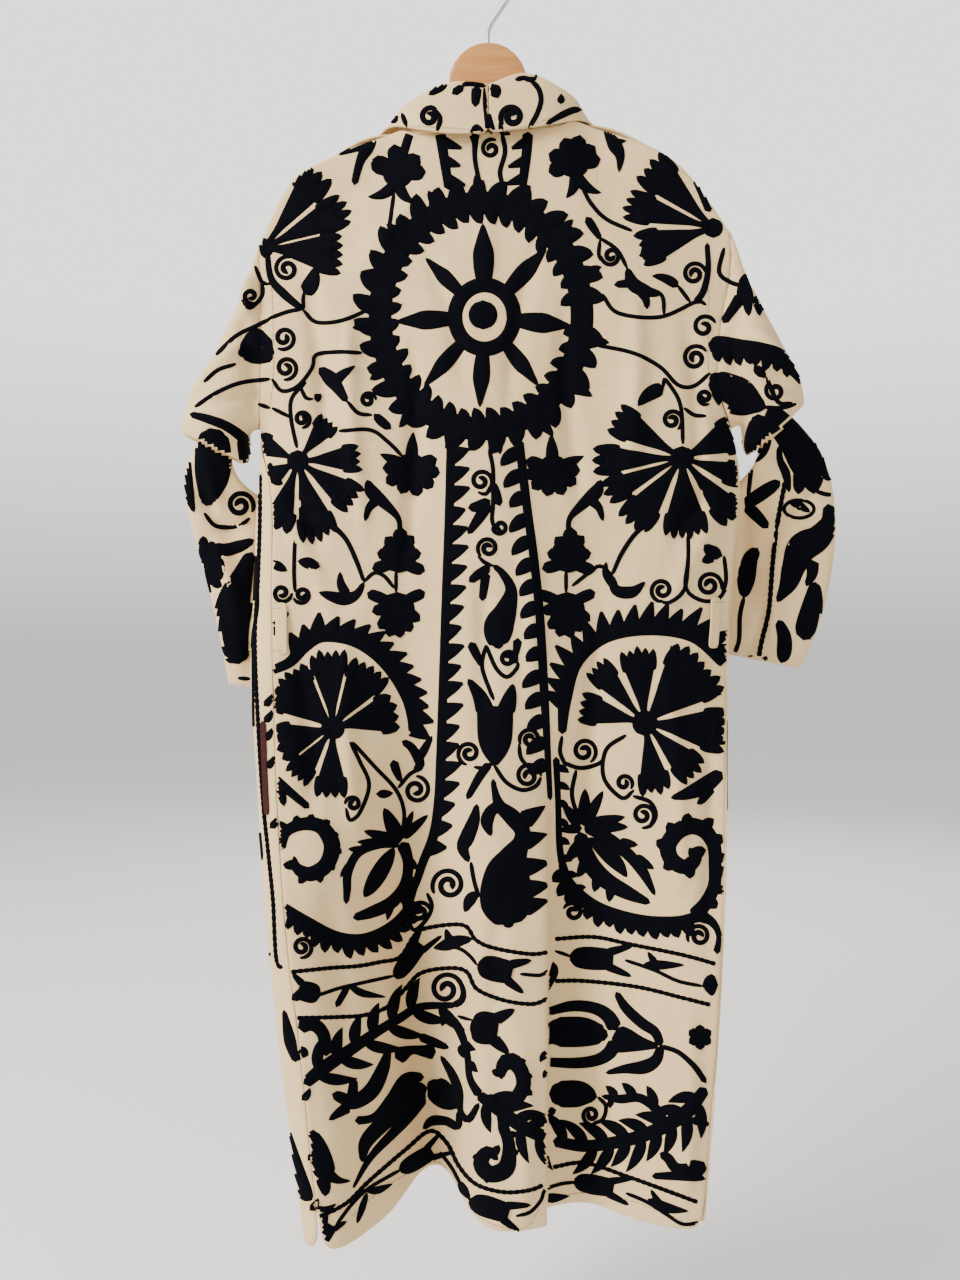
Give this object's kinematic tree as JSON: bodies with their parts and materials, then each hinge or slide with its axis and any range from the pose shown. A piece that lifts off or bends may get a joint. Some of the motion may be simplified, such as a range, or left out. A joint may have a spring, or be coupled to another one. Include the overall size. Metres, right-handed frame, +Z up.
{
  "type": "suzani jacket on a hanger",
  "caption": "Long open-fronted cotton coat with a turned-down collar, side-seam belt loops and pockets, black suzani embroidery, on a flat wooden hanger with a wire hook.",
  "frame": {"origin": "the inner top of the hanger's hook, where it rests on a rail", "axes": "+X across the coat towards the right sleeve as seen from the back, +Y out of the front of the coat, +Z up"},
  "size_m": [0.678, 0.1897, 1.2186],
  "materials": {
    "cloth": "slubby unbleached plain-weave cotton, with black wool chain-stitch embroidery",
    "pocketing": "matt red-brown cotton",
    "hanger": "clear satin lacquer on tan wood",
    "hook": "bright drawn steel wire"
  },
  "bodies": {
    "root": {"back_panel": "cloth", "front_left": "cloth", "front_right": "cloth", "sleeve_left": "cloth", "sleeve_right": "cloth", "collar_left": "cloth", "collar_right": "cloth", "belt_loop_left": "cloth", "belt_loop_right": "cloth", "pocket_left": "pocketing", "pocket_right": "pocketing", "hanger_wood": "hanger", "hanger_hook": "hook"}
  },
  "joints": []
}
